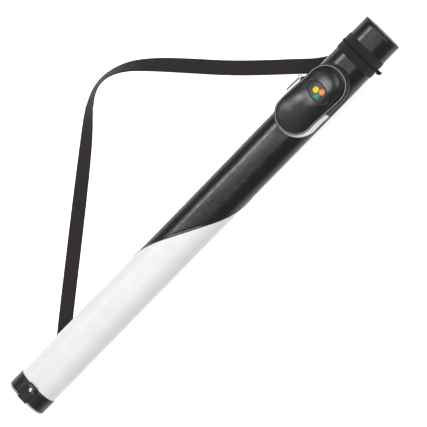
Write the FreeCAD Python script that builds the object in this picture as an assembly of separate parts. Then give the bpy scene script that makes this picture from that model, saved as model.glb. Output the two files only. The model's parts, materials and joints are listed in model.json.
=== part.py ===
import FreeCAD, Part
import math
import os
from BOPTools import SplitAPI

# Hard oval case for one two-piece cue, lying on its back with the lid closed.
# Stations along the case are measured from its bottom end towards the lid, in millimetres.
# Every finished piece is then moved so that the origin is the centre of the boot's underside.
V = FreeCAD.Vector
X_AXIS = V(1, 0, 0)
Y_AXIS = V(0, 1, 0)
Z_AXIS = V(0, 0, 1)

# Case section: two half circles joined by flats
length = 850.0
half_flat = 11.5
skin_radius = 25.0
skin_thickness = 1.2
proud_band = 1.0
axis_z = skin_radius + proud_band
filler_radius = 23.6
plate_radius = 23.4
gap = 0.05

# Cutting tools reach this far past, or out to the side of, the piece they cut
overcut = 1.0
beyond = 100.0

# Tubes: the wide one holds the butt, the narrow one the shaft
butt_y = 15.2
butt_bore = 17.5
butt_wall = 1.2
shaft_y = -19.5
shaft_bore = 12.75
shaft_wall = 1.1
tube_sizes = (("butt", butt_bore, butt_wall, butt_y), ("shaft", shaft_bore, shaft_wall, shaft_y))
tube_start = 6.0
tube_gap = 0.1
pad_thickness = 6.0

# Bottom end
base_start = 1.3
base_end = 4.1
base_plate_radius = 23.35
base_cord_radius = 24.7
base_cord_x = 2.7
piping_radius = 1.3
boot_end = 29.5
binding_width = 3.0
loop_width = 19.0
loop_end = 33.5
loop_thickness = 1.25
loop_foot = 8.0
loop_rounding = 1.1
rivet_station = 25.0
rivet_radius = 3.2
rivet_height = 1.3
rivet_rounding = 0.7
origin_station = (base_end + boot_end) / 2

# Colour seam: its station falls steadily with the distance round the front, from -Y to +Y
seam_front = 391.0
seam_slope = 1.92
seam_steps = 96
seam_tool_reach = 2.0

# Mouth, zip ring and lid
split = 797.0
tape_width = 13.0
teeth_width = 2.8
teeth_gap = 0.2
tape_radius = 26.2
teeth_radius = 27.3
hinge_half_width = 19.8
hinge_reach = 9.0
hinge_top = 21.0
plate_thickness = 2.0
plate_recess = 4.7
rim_height = 2.2
rim_wall = 0.9
socket_end = 838.0
lid_skin_end = 846.0
lid_dome_radius = 330.0
lid_piping_radius = 1.4

# Lid zip slider and its pull
slider_length = 9.0
slider_width = 7.0
slider_height = 1.8
slider_corner = 1.5
slider_clearance = 0.35
bail_reach = 2.0
bail_width = 4.0
bail_hole_radius = 0.6
lid_pin_radius = 0.55
lid_pull_length = 20.0
lid_pull_width = 6.0
lid_pull_thickness = 1.2
lid_pull_corner = 2.5
lid_arm_width = 0.7
lid_arm_length = 3.0

# Zip pouch on the front
pouch_start = 627.0
pouch_end = 759.0
pouch_half_width = 33.5
pouch_corner = 32.0
pouch_wall = 2.0
pouch_edge_z = 70.0
pouch_crown_z = 77.0
pouch_piping_radius = 1.1
pouch_pad_rounding = 5.0
pouch_hinge = 693.0
hinge_gap = 0.4
pouch_zip_z = 60.0
pouch_tape_width = 4.4
pouch_teeth_height = 1.3
pouch_teeth_gap = 0.25
pouch_flange = 1.6
pouch_tape_inset = 0.2
pouch_tape_thickness = 1.2
pouch_teeth_proud = 0.5
pouch_teeth_depth = 2.1

# Badge on the pouch
badge_station = 711.0
badge_half_x = 14.0
badge_half_y = 24.0
badge_turn = -9.0
badge_thickness = 1.2
badge_border_width = 1.4

# Pouch zip slider, ring and pull tab
pouch_slider_station = 707.0
pouch_slider_length = 9.0
pouch_slider_width = 6.8
pouch_slider_height = 2.2
pouch_slider_corner = 1.4
pouch_slider_offset = 0.85
arch_width = 1.8
arch_span = 5.2
arch_height = 2.1
arch_roof = 0.6
arch_leg = 0.9
ring_radius = 2.9
ring_wire = 0.45
ring_room = 0.65
tab_length = 27.0
tab_width = 6.5
tab_thickness = 1.2
tab_corner = 2.4
tab_angle = 2.0

# Shoulder strap: flat webbing lying on the floor beside the case
strap_width = 25.0
strap_thickness = 1.8
strap_z = 1.1
strap_arc_share = 0.45
anchor_length = 20.0
anchor_thickness = 3.2
anchor_overhang = 1.0
anchor_floor = 0.1
anchor_rivet_radius = 2.2
anchor_rivet_height = 0.9
anchor_rivet_inset = 4.0
strap_route = [
    (752, 30), (735, 42), (710, 67), (674, 101), (629, 146), (585, 197), (544, 244),
    (510, 276), (467, 287), (424, 275), (373, 234), (277, 158), (189, 89), (140, 51), (113, 30),
]


def section_edges(radius, x):
    """Edges of the oval section at one station."""
    top = axis_z + radius
    low = axis_z - radius
    return [
        Part.LineSegment(V(x, -half_flat, low), V(x, half_flat, low)).toShape(),
        Part.Arc(V(x, half_flat, low), V(x, half_flat + radius, axis_z), V(x, half_flat, top)).toShape(),
        Part.LineSegment(V(x, half_flat, top), V(x, -half_flat, top)).toShape(),
        Part.Arc(V(x, -half_flat, top), V(x, -half_flat - radius, axis_z), V(x, -half_flat, low)).toShape(),
    ]


def oval(radius, start, end):
    """Solid oval prism between two stations."""
    face = Part.Face(Part.Wire(section_edges(radius, start)))
    return face.extrude(V(end - start, 0, 0))


def oval_ring(outer, inner, start, end):
    """Oval tube between two stations."""
    return oval(outer, start, end).cut(oval(inner, start - overcut, end + overcut))


def cylinder(radius, start, end, y):
    return Part.makeCylinder(radius, end - start, V(start, y, axis_z), X_AXIS)


def tube(bore, wall, start, end, y):
    return cylinder(bore + wall, start, end, y).cut(cylinder(bore, start - overcut, end + overcut, y))


def box(x0, x1, y0, y1, z0, z1):
    return Part.makeBox(x1 - x0, y1 - y0, z1 - z0, V(x0, y0, z0))


def tube_holes(clearance, start, end):
    """Room for both tubes through a filler or plate."""
    butt = cylinder(butt_bore + butt_wall + clearance, start, end, butt_y)
    shaft = cylinder(shaft_bore + shaft_wall + clearance, start, end, shaft_y)
    return butt.fuse(shaft)


def oval_piping(centre_radius, radius, x):
    """Round cord all the way round the oval section."""
    path = Part.Wire(section_edges(centre_radius, x))
    start = V(x, -half_flat, axis_z - centre_radius)
    profile = Part.Wire(Part.Circle(start, Y_AXIS, radius).toShape())
    return path.makePipeShell([profile], True, False)


def pouch_wire(inset, z):
    """Closed outline of the pouch, moved in by inset."""
    x0 = pouch_start + inset
    x1 = pouch_end - inset
    y = pouch_half_width - inset
    r = pouch_corner - inset
    d = r * math.sqrt(0.5)
    edges = []
    corners = [
        (x1 - r, y - r, 1, 1), (x0 + r, y - r, -1, 1),
        (x0 + r, -y + r, -1, -1), (x1 - r, -y + r, 1, -1),
    ]
    last = None
    first = None
    for cx, cy, sx, sy in corners:
        on_x = V(cx + sx * r, cy, z)
        on_y = V(cx, cy + sy * r, z)
        begin, finish = (on_x, on_y) if sx * sy > 0 else (on_y, on_x)
        if last is not None:
            edges.append(Part.LineSegment(last, begin).toShape())
        else:
            first = begin
        edges.append(Part.Arc(begin, V(cx + sx * d, cy + sy * d, z), finish).toShape())
        last = finish
    edges.append(Part.LineSegment(last, first).toShape())
    return Part.Wire(edges)


def pouch_prism(inset, z0, z1):
    return Part.Face(pouch_wire(inset, z0)).extrude(V(0, 0, z1 - z0))


def pouch_ring(outer_inset, inner_inset, z0, z1):
    return pouch_prism(outer_inset, z0, z1).cut(pouch_prism(inner_inset, z0 - overcut, z1 + overcut))


def below_hinge(shape):
    """The part of a pouch piece on the bottom side of the flap's fold."""
    return shape.common(box(0, pouch_hinge - hinge_gap / 2, -beyond, beyond, 0, beyond))


def above_hinge(shape):
    return shape.common(box(pouch_hinge + hinge_gap / 2, length, -beyond, beyond, 0, beyond))


def zip_side(shape):
    """The part of a zip ring that is not across the fabric hinge at the back."""
    half = hinge_half_width + gap
    return shape.cut(box(0, length, -half, half, -beyond, hinge_top))


def seam_curve(offset):
    """Seam drawn on an oval of the given radius, from the back's middle round and back again."""
    quarter = math.pi * skin_radius / 2
    half_girth = 2 * half_flat + 2 * quarter
    points = []
    for i in range(seam_steps + 1):
        s = -half_girth + 2 * half_girth * i / seam_steps
        side = 1 if s >= 0 else -1
        d = abs(s)
        x = seam_front - seam_slope * s
        if d <= half_flat:
            y, z = d, offset
        elif d <= half_flat + 2 * quarter:
            a = (d - half_flat) / skin_radius
            y, z = half_flat + offset * math.sin(a), offset * math.cos(a)
        else:
            y, z = half_girth - d, -offset
        points.append(V(x, side * y, axis_z + z))
    curve = Part.BSplineCurve()
    curve.interpolate(points)
    return curve.toShape()


def skin_panels():
    """White lower panel and black upper panel, cut from one tube along the seam."""
    inner = skin_radius - skin_thickness
    whole = oval_ring(skin_radius, inner, base_end + gap, split - teeth_width)
    low_curve = seam_curve(inner - seam_tool_reach)
    high_curve = seam_curve(skin_radius + seam_tool_reach)
    spiral = Part.makeRuledSurface(low_curve, high_curve)
    girth = 2 * math.pi * skin_radius + 4 * half_flat
    reach = seam_slope * girth / 2
    back_height = skin_thickness + 2 * seam_tool_reach
    back_corner = V(seam_front - reach, 0, axis_z - skin_radius - seam_tool_reach)
    back = Part.makePlane(2 * reach, back_height, back_corner, V(0, -1, 0), X_AXIS)
    halves = SplitAPI.slice(whole, [spiral, back], "Split").Solids
    halves.sort(key=lambda solid: solid.CenterOfMass.x)
    return halves


def bottom_loop():
    """Leather tab on the boot's front that folds over the bottom end."""
    front_z = axis_z + skin_radius + proud_band + gap
    half = loop_width / 2
    front = box(0, loop_end, -half, half, front_z, front_z + loop_thickness)
    under = box(0, loop_thickness, -half, half, loop_foot, front_z + loop_thickness)
    whole = front.fuse(under).removeSplitter()
    corner = [e for e in whole.Edges if e.BoundBox.XMax < 0.01 and e.BoundBox.ZMin > front_z + gap]
    return whole.makeFillet(loop_rounding, corner)


def rivet(x, y, z, direction, radius, height):
    """Domed rivet cap standing on a surface."""
    cap = Part.makeCylinder(radius, height, V(x, y, z), direction)
    rim = [e for e in cap.Edges if (e.BoundBox.Center - V(x, y, z)).dot(direction) > height - 0.1
           and len(e.Vertexes) == 1]
    return cap.makeFillet(height * rivet_rounding, rim)


def fillet_top(shape, z, radius):
    rim = [e for e in shape.Edges if abs(e.BoundBox.ZMin - z) < 0.01 and abs(e.BoundBox.ZMax - z) < 0.01]
    return shape.makeFillet(radius, rim)


def strap_path():
    """Straight runs joined by tangent arcs, each as large as its runs allow."""
    points = [V(x, y, strap_z) for x, y in strap_route]
    edges = []
    here = points[0]
    for before, corner, after in zip(points, points[1:], points[2:]):
        a = before - corner
        b = after - corner
        turn = math.pi - a.getAngle(b)
        reach = strap_arc_share * min(a.Length, b.Length)
        radius = reach / math.tan(turn / 2)
        print("strap turn %.1f deg, radius %.0f mm" % (math.degrees(turn), radius))
        a.normalize()
        b.normalize()
        begin = corner + a * reach
        finish = corner + b * reach
        middle = (a + b).normalize()
        depth = radius / math.cos(turn / 2) - radius
        edges.append(Part.LineSegment(here, begin).toShape())
        edges.append(Part.Arc(begin, corner + middle * depth, finish).toShape())
        here = finish
    edges.append(Part.LineSegment(here, points[-1]).toShape())
    return Part.Wire(edges)


def strap():
    path = strap_path()
    start = V(strap_route[0][0], strap_route[0][1], strap_z)
    ahead = V(strap_route[1][0], strap_route[1][1], strap_z) - start
    ahead.normalize()
    across = Z_AXIS.cross(ahead) * (strap_width / 2)
    up = Z_AXIS * (strap_thickness / 2)
    corners = [start + across + up, start - across + up, start - across - up, start + across - up]
    profile = Part.makePolygon(corners + corners[:1])
    solid = path.makePipeShell([profile], True, False)
    print("strap length %.1f mm, volume / (section x length) %.4f"
          % (path.Length, solid.Volume / (strap_width * strap_thickness * path.Length)))
    return solid


def strap_anchor(end, towards):
    """Leather tongue under the case that grips one end of the strap."""
    out = V(towards[0] - end[0], towards[1] - end[1], 0)
    angle = math.degrees(math.atan2(out.y, out.x))
    half = strap_width / 2 + anchor_overhang
    tongue = box(-anchor_length, 0, -half, half, anchor_floor, anchor_floor + anchor_thickness)
    tongue.rotate(V(0, 0, 0), Z_AXIS, angle)
    tongue.translate(V(end[0], end[1], 0))
    return tongue.cut(oval(skin_radius + gap, 0, split))


def anchor_rivet(end, towards):
    out = V(towards[0] - end[0], towards[1] - end[1], 0)
    out.normalize()
    place = V(end[0], end[1], 0) - out * anchor_rivet_inset
    top = anchor_floor + anchor_thickness
    return rivet(place.x, place.y, top, Z_AXIS, anchor_rivet_radius, anchor_rivet_height)


def round_sides(body, radius, height):
    """Rounds the block's four edges that run across its thickness along Y."""
    sides = [e for e in body.Edges if abs(e.BoundBox.YLength - height) < 0.01]
    return body.makeFillet(radius, sides)


def lid_slider_face():
    """Distance of the lid slider's outer face from the middle plane."""
    return half_flat + teeth_radius + slider_clearance + slider_height


def lid_slider():
    """Slider body on the -Y side of the zip ring, with its bail."""
    outer = lid_slider_face()
    half_x = slider_width / 2
    half_z = slider_length / 2
    inner = outer - slider_height
    body = box(split - half_x, split + half_x, -outer, -inner, axis_z - half_z, axis_z + half_z)
    body = round_sides(body, slider_corner, slider_height)
    half = bail_width / 2
    bail = box(split - half, split + half, -outer - bail_reach, -outer, axis_z - half, axis_z + half)
    side = V(split - half_x, -outer - bail_reach / 2, axis_z)
    hole = Part.makeCylinder(bail_hole_radius, slider_width, side, X_AXIS)
    return body.fuse(bail).cut(hole).removeSplitter()


def lid_pull():
    """Pull tab hanging from a pin in the slider's bail."""
    y = -lid_slider_face() - bail_reach / 2
    half_x = lid_pull_width / 2
    half_y = lid_pull_thickness / 2
    pin_end = half_x - lid_arm_width / 2
    pin = Part.makeCylinder(lid_pin_radius, 2 * pin_end, V(split - pin_end, y, axis_z), X_AXIS)
    plate_z = axis_z - lid_arm_length
    arms = []
    for x0 in (split - half_x, split + half_x - lid_arm_width):
        arms.append(box(x0, x0 + lid_arm_width, y - half_y, y + half_y, plate_z - half_y, axis_z + half_y))
    end_z = plate_z - lid_pull_length
    plate = box(split - half_x, split + half_x, y - half_y, y + half_y, end_z, plate_z)
    ends = [e for e in plate.Edges if e.BoundBox.YLength > half_y and e.BoundBox.ZMax < end_z + half_y]
    plate = plate.makeFillet(lid_pull_corner, ends)
    return plate.fuse([pin] + arms).removeSplitter()


def pouch_slider_block():
    """Slider body on the pouch's +Y side, with an arch for the ring."""
    x = pouch_slider_station
    z = pouch_zip_z
    y0 = pouch_half_width + pouch_slider_offset
    y1 = y0 + pouch_slider_height
    half_x = pouch_slider_length / 2
    half_z = pouch_slider_width / 2
    body = box(x - half_x, x + half_x, y0, y1, z - half_z, z + half_z)
    body = round_sides(body, pouch_slider_corner, pouch_slider_height)
    half = arch_width / 2
    span = arch_span / 2
    arch = box(x - half, x + half, y1, y1 + arch_height, z - span, z + span)
    reach = span - arch_leg
    room = box(x - arch_width, x + arch_width, y1, y1 + arch_height - arch_roof, z - reach, z + reach)
    return body.fuse(arch).cut(room).removeSplitter()


def pouch_ring_centre():
    near = pouch_half_width + pouch_slider_offset + pouch_slider_height + ring_room
    return V(pouch_slider_station, near + ring_radius, pouch_zip_z)


def pouch_pull_ring():
    return Part.makeTorus(ring_radius, ring_wire, pouch_ring_centre(), Z_AXIS)


def pouch_pull_tab():
    """Tab that hangs from the ring along the case, turned a little away from it."""
    centre = pouch_ring_centre()
    x1 = centre.x - ring_radius - ring_wire - gap
    half_y = tab_thickness / 2
    half_z = tab_width / 2
    tab = box(0, tab_length, -half_y, half_y, -half_z, half_z)
    tab.translate(V(x1 - tab_length, centre.y, centre.z))
    tab = round_sides(tab, tab_corner, tab_thickness)
    tab.rotate(V(x1, centre.y, centre.z), Z_AXIS, -tab_angle)
    return tab


def badge_oval(half_x, half_y, z0, z1):
    centre = V(badge_station, 0, z0)
    rim = Part.Ellipse(centre + V(0, half_y, 0), centre + V(-half_x, 0, 0), centre).toShape()
    rim.rotate(centre, Z_AXIS, badge_turn)
    return Part.Face(Part.Wire(rim)).extrude(V(0, 0, z1 - z0))


def pouch_tape(z0, z1):
    """Zip tape round the pouch's upper half."""
    return above_hinge(pouch_ring(pouch_tape_inset, pouch_tape_inset + pouch_tape_thickness, z0, z1))


def pouch_teeth(z0):
    """Row of zip teeth, as one band, round the pouch's upper half."""
    inset = -pouch_teeth_proud
    return above_hinge(pouch_ring(inset, inset + pouch_teeth_depth, z0, z0 + pouch_teeth_height))


def pouch_pieces():
    parts = {}
    body_room = oval(skin_radius + gap, 0, length)
    wall = pouch_ring(0, pouch_wall, axis_z, pouch_edge_z - gap).cut(body_room)
    tape_z = pouch_zip_z - pouch_teeth_gap - pouch_teeth_height
    outer_z = pouch_zip_z + pouch_teeth_gap + pouch_teeth_height
    parts["pouch_gusset_lower"] = below_hinge(wall)
    upper = above_hinge(wall)
    fixed = box(0, length, -beyond, beyond, 0, tape_z - pouch_tape_width)
    parts["pouch_gusset_upper"] = upper.common(fixed)
    moving = box(0, length, -beyond, beyond, outer_z + pouch_tape_width, beyond)
    parts["pouch_flap_gusset"] = upper.common(moving)
    parts["pouch_zip_tape_inner"] = pouch_tape(tape_z - pouch_tape_width + gap, tape_z - gap)
    parts["pouch_zip_tape_outer"] = pouch_tape(outer_z + gap, outer_z + pouch_tape_width - gap)
    parts["pouch_teeth_inner"] = pouch_teeth(tape_z)
    parts["pouch_teeth_outer"] = pouch_teeth(outer_z - pouch_teeth_height)
    flange = pouch_ring(-pouch_flange, -gap, axis_z, pouch_edge_z)
    parts["pouch_base_piping"] = flange.cut(body_room).common(oval(skin_radius + pouch_flange, 0, length))
    cord_z = pouch_edge_z + pouch_piping_radius
    start = V(pouch_start + pouch_corner, pouch_half_width - pouch_piping_radius, cord_z)
    profile = Part.Wire(Part.Circle(start, X_AXIS, pouch_piping_radius).toShape())
    path = pouch_wire(pouch_piping_radius, cord_z)
    cord = path.makePipeShell([profile], True, False)
    parts["pouch_piping_lower"] = below_hinge(cord)
    parts["pouch_piping_upper"] = above_hinge(cord)
    inset = 2 * pouch_piping_radius + gap
    pad = fillet_top(pouch_prism(inset, pouch_edge_z, pouch_crown_z), pouch_crown_z, pouch_pad_rounding)
    parts["pouch_front_lower"] = below_hinge(pad)
    parts["pouch_front_upper"] = above_hinge(pad)
    top = pouch_crown_z + gap
    inner_x = badge_half_x - badge_border_width
    inner_y = badge_half_y - badge_border_width
    parts["badge"] = badge_oval(inner_x - gap, inner_y - gap, top, top + badge_thickness)
    hole = badge_oval(inner_x, inner_y, top - overcut, top + badge_thickness + overcut)
    parts["badge_border"] = badge_oval(badge_half_x, badge_half_y, top, top + badge_thickness).cut(hole)
    parts["pouch_slider"] = pouch_slider_block()
    parts["pouch_pull_ring"] = pouch_pull_ring()
    parts["pouch_pull_tab"] = pouch_pull_tab()
    return parts


def bottom_pieces():
    parts = {}
    parts["base_plate"] = oval(base_plate_radius, base_start, base_end - gap)
    parts["base_piping"] = oval_piping(base_cord_radius, piping_radius, base_cord_x)
    band = skin_radius + proud_band
    parts["boot_band"] = oval_ring(band, skin_radius + gap, base_end + gap, boot_end)
    parts["boot_binding"] = oval_ring(band, skin_radius + gap, boot_end + gap, boot_end + binding_width)
    parts["bottom_loop"] = bottom_loop()
    top = axis_z + skin_radius + proud_band + gap + loop_thickness
    parts["loop_rivet"] = rivet(rivet_station, 0, top, Z_AXIS, rivet_radius, rivet_height)
    return parts


def tube_pieces():
    parts = {}
    plate_end = split - plate_recess
    plate_start = plate_end - plate_thickness
    rim_end = plate_end + rim_height
    filler = oval(filler_radius, base_end + gap, plate_start - gap)
    parts["tube_filler"] = filler.cut(tube_holes(tube_gap, tube_start - tube_gap, split))
    plate = oval(plate_radius, plate_start, plate_end)
    parts["mouth_plate"] = plate.cut(tube_holes(tube_gap, plate_start - overcut, split))
    pad_end = tube_start + pad_thickness
    for name, bore, wall, y in tube_sizes:
        parts[name + "_tube"] = tube(bore, wall, pad_end, rim_end, y)
        parts[name + "_end_pad"] = cylinder(bore + wall, tube_start, pad_end - gap, y)
        parts[name + "_rim"] = tube(bore + wall + tube_gap, rim_wall, plate_end + gap, rim_end, y)
    lower, upper = skin_panels()
    parts["lower_skin"] = lower
    parts["upper_skin"] = upper
    return parts


def ring_pieces():
    parts = {}
    inner = skin_radius + gap
    half_gap = teeth_gap / 2
    teeth_end = split - half_gap
    teeth_start = teeth_end - teeth_width
    parts["zip_teeth_body"] = zip_side(oval_ring(teeth_radius, inner, teeth_start, teeth_end))
    tape_end = teeth_start - gap
    parts["zip_tape_body"] = zip_side(oval_ring(tape_radius, inner, tape_end - tape_width, tape_end))
    teeth_start = split + half_gap
    teeth_end = teeth_start + teeth_width
    parts["zip_teeth_lid"] = zip_side(oval_ring(teeth_radius, inner, teeth_start, teeth_end))
    tape_start = teeth_end + gap
    parts["zip_tape_lid"] = zip_side(oval_ring(tape_radius, inner, tape_start, tape_start + tape_width))
    strip = oval_ring(skin_radius + proud_band, inner, split - hinge_reach, split + hinge_reach)
    room = box(0, length, -hinge_half_width, hinge_half_width, -beyond, hinge_top)
    parts["hinge_gusset"] = strip.common(room)
    parts["lid_slider"] = lid_slider()
    parts["lid_pull"] = lid_pull()
    return parts


def lid_pieces():
    parts = {}
    plate_start = split + plate_recess
    plate_end = plate_start + plate_thickness
    rim_start = plate_start - rim_height
    skin_inner = skin_radius - skin_thickness
    parts["lid_skin"] = oval_ring(skin_radius, skin_inner, split + teeth_width, lid_skin_end)
    filler = oval(filler_radius, plate_end + gap, lid_skin_end)
    parts["lid_filler"] = filler.cut(tube_holes(tube_gap, plate_end - overcut, socket_end + tube_gap))
    plate = oval(plate_radius, plate_start, plate_end)
    parts["lid_face_plate"] = plate.cut(tube_holes(tube_gap, plate_start - overcut, plate_end + overcut))
    pad_start = socket_end - pad_thickness
    for name, bore, wall, y in tube_sizes:
        parts["lid_" + name + "_socket"] = tube(bore, wall, rim_start, pad_start, y)
        rim_bore = bore + wall + tube_gap
        parts["lid_" + name + "_rim"] = tube(rim_bore, rim_wall, rim_start, plate_start - gap, y)
        parts["lid_" + name + "_pad"] = cylinder(bore + wall, pad_start + gap, socket_end, y)
    cord_radius = skin_radius + proud_band - lid_piping_radius
    plate = oval(cord_radius - lid_piping_radius - gap, lid_skin_end + gap, length + overcut)
    dome = Part.makeSphere(lid_dome_radius, V(length - lid_dome_radius, 0, axis_z))
    parts["lid_top_plate"] = plate.common(dome)
    parts["lid_piping"] = oval_piping(cord_radius, lid_piping_radius, lid_skin_end + lid_piping_radius + gap)
    return parts


def strap_pieces():
    parts = {}
    ends = (
        ("strap_anchor_top", strap_route[0], strap_route[1]),
        ("strap_anchor_bottom", strap_route[-1], strap_route[-2]),
    )
    rivets = []
    for name, end, towards in ends:
        rivets.append(anchor_rivet(end, towards))
        parts[name] = strap_anchor(end, towards)
    parts["anchor_rivets"] = Part.makeCompound(rivets)
    parts["shoulder_strap"] = strap()
    return parts


def main():
    os.makedirs("parts", exist_ok=True)
    pieces = {}
    for make in (bottom_pieces, tube_pieces, ring_pieces, lid_pieces, pouch_pieces, strap_pieces):
        pieces.update(make())
    for name, shape in sorted(pieces.items()):
        shape.translate(V(-origin_station, 0, 0))
        if not shape.isValid() or not shape.Solids:
            print("NOT A VALID SOLID:", name)
        bounds = shape.BoundBox
        print("%-24s solids %d volume %10.1f  x %7.1f..%7.1f y %6.1f..%6.1f z %6.1f..%6.1f" % (
            name, len(shape.Solids), shape.Volume, bounds.XMin, bounds.XMax,
            bounds.YMin, bounds.YMax, bounds.ZMin, bounds.ZMax))
        shape.exportStep("parts/" + name + ".step")


main()
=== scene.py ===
import json
import math

import bmesh
import bpy
from mathutils import Matrix, Vector, noise


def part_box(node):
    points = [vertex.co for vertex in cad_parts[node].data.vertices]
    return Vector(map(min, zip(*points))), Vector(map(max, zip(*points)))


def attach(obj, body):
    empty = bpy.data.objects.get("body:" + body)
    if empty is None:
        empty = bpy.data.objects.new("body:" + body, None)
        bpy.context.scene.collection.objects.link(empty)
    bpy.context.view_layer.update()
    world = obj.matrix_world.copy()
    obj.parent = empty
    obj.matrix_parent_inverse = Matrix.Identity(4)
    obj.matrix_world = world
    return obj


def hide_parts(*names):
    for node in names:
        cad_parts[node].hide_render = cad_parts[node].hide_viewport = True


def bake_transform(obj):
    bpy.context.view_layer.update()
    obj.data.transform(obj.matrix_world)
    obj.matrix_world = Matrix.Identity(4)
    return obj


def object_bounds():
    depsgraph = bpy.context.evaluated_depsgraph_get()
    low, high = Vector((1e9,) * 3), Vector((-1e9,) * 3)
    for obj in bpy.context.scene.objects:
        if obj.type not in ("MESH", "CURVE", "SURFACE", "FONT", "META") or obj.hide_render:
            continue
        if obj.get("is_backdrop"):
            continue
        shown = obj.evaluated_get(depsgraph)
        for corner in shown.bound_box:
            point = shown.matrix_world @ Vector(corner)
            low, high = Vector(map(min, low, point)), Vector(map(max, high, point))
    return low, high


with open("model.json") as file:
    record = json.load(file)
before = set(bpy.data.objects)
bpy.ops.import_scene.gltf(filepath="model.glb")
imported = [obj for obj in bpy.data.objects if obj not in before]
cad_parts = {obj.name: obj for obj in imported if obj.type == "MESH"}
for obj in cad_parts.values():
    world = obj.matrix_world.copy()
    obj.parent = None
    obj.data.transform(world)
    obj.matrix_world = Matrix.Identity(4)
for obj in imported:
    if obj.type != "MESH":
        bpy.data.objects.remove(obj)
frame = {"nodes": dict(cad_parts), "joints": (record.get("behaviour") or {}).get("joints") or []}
cad_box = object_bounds()

SCENE = bpy.context.scene
LINK = SCENE.collection.objects.link


# ---- sizes read from the frame

def joint(name):
    """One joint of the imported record."""
    return next(j for j in frame["joints"] if j["name"] == name)


LOWER_LOW, LOWER_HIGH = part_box("lower_skin")
UPPER_LOW, UPPER_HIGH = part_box("upper_skin")
LID_LOW, LID_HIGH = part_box("lid_skin")
POUCH_LOW, POUCH_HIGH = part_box("pouch_gusset_lower")
FLAP_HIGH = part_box("pouch_flap_gusset")[1]

RADIUS = (UPPER_HIGH.z - UPPER_LOW.z) / 2
AXIS_Z = (UPPER_HIGH.z + UPPER_LOW.z) / 2
HALF_FLAT = (UPPER_HIGH.y - UPPER_LOW.y) / 2 - RADIUS
HALF_GIRTH = 2 * HALF_FLAT + math.pi * RADIUS
SEAM_SLOPE = (LOWER_HIGH.x - UPPER_LOW.x) / (2 * HALF_GIRTH)
SEAM_FRONT = (LOWER_HIGH.x + UPPER_LOW.x) / 2
CASE_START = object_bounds()[0][0]
CASE_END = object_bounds()[1][0]
FOLD = joint("pouch_flap_hinge")["pos_m"]


# ---- camera

FRAME_WIDTH = 0.6977
CAMERA_DISTANCE = 3.8
SENSOR = 36.0
TILT_TO_RIGHT = math.radians(9.0)
TILT_TO_LID = math.radians(9.5)
CASE_ANGLE = math.radians(45.74)
MIDDLE_OFFSET = (0.0198, 0.0080)


def add_camera():
    """Looks down on the front, leaning a little towards the lid and the -Y side."""
    towards = Vector((math.tan(TILT_TO_LID), -math.tan(TILT_TO_RIGHT), 1)).normalized()
    along = (Vector((1, 0, 0)) - towards * towards.x).normalized()
    across = towards.cross(along)
    right = along * math.cos(CASE_ANGLE) - across * math.sin(CASE_ANGLE)
    up = along * math.sin(CASE_ANGLE) + across * math.cos(CASE_ANGLE)
    middle = Vector(((CASE_START + CASE_END) / 2, 0, AXIS_Z))
    aim = middle + right * MIDDLE_OFFSET[0] + up * MIDDLE_OFFSET[1]
    data = bpy.data.cameras.new("camera")
    data.sensor_width = SENSOR
    data.lens = SENSOR * CAMERA_DISTANCE / FRAME_WIDTH
    data.clip_end = 50
    camera = bpy.data.objects.new("camera", data)
    turn = Matrix((right, up, towards)).transposed().to_4x4()
    camera.matrix_world = Matrix.Translation(aim + towards * CAMERA_DISTANCE) @ turn
    LINK(camera)
    SCENE.camera = camera


add_camera()


# ---- node materials

PEBBLE = 0.0011


class Recipe:
    """A material in the making. Each helper adds a node and gives back its output."""

    def __init__(self, name):
        self.material = bpy.data.materials.new(name)
        self.material.use_nodes = True
        self.tree = self.material.node_tree

    def fill(self, node, inputs):
        """Links outputs to the node's inputs, and sets plain values on them."""
        for key, value in dict(inputs).items():
            if isinstance(value, bpy.types.NodeSocket):
                self.tree.links.new(value, node.inputs[key])
            else:
                node.inputs[key].default_value = value

    def add(self, kind, inputs=(), output=0, **settings):
        node = self.tree.nodes.new(kind)
        for key, value in settings.items():
            setattr(node, key, value)
        self.fill(node, inputs)
        return node.outputs[output]

    def place(self):
        return self.add("ShaderNodeTexCoord", output="Object")

    def noise(self, place, scale, detail, roughness=0.5, output="Fac"):
        inputs = {"Vector": place, "Scale": scale, "Detail": detail, "Roughness": roughness}
        return self.add("ShaderNodeTexNoise", inputs, output)

    def calc(self, operation, *values):
        return self.add("ShaderNodeMath", enumerate(values), operation=operation)

    def spread(self, value, low=0.0, high=1.0, start=0.0, end=1.0):
        """The range from start to end, carried over to the range from low to high."""
        inputs = {"Value": value, "From Min": start, "From Max": end, "To Min": low, "To Max": high}
        return self.add("ShaderNodeMapRange", inputs)

    def ramp(self, value, dark_at, dark, light_at, light):
        colour = self.add("ShaderNodeValToRGB", {"Fac": value})
        elements = colour.node.color_ramp.elements
        for element, place, shade in zip(elements, (dark_at, light_at), (dark, light)):
            element.position = place
            element.color = (*shade, 1)
        return colour

    def bump(self, height, strength, distance, **below):
        inputs = {"Height": height, "Strength": strength, "Distance": distance, **below}
        return self.add("ShaderNodeBump", inputs)

    def finish(self, colour, roughness, normal, specular, **more):
        """Fills the shader. more holds sheen, metallic and the like, with _ for each space."""
        shader = self.tree.nodes["Principled BSDF"]
        self.fill(shader, {"Base Color": colour, "Roughness": roughness, "Normal": normal,
                           "Specular IOR Level": specular})
        self.fill(shader, {key.replace("_", " "): value for key, value in more.items()})
        return self.material


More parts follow.
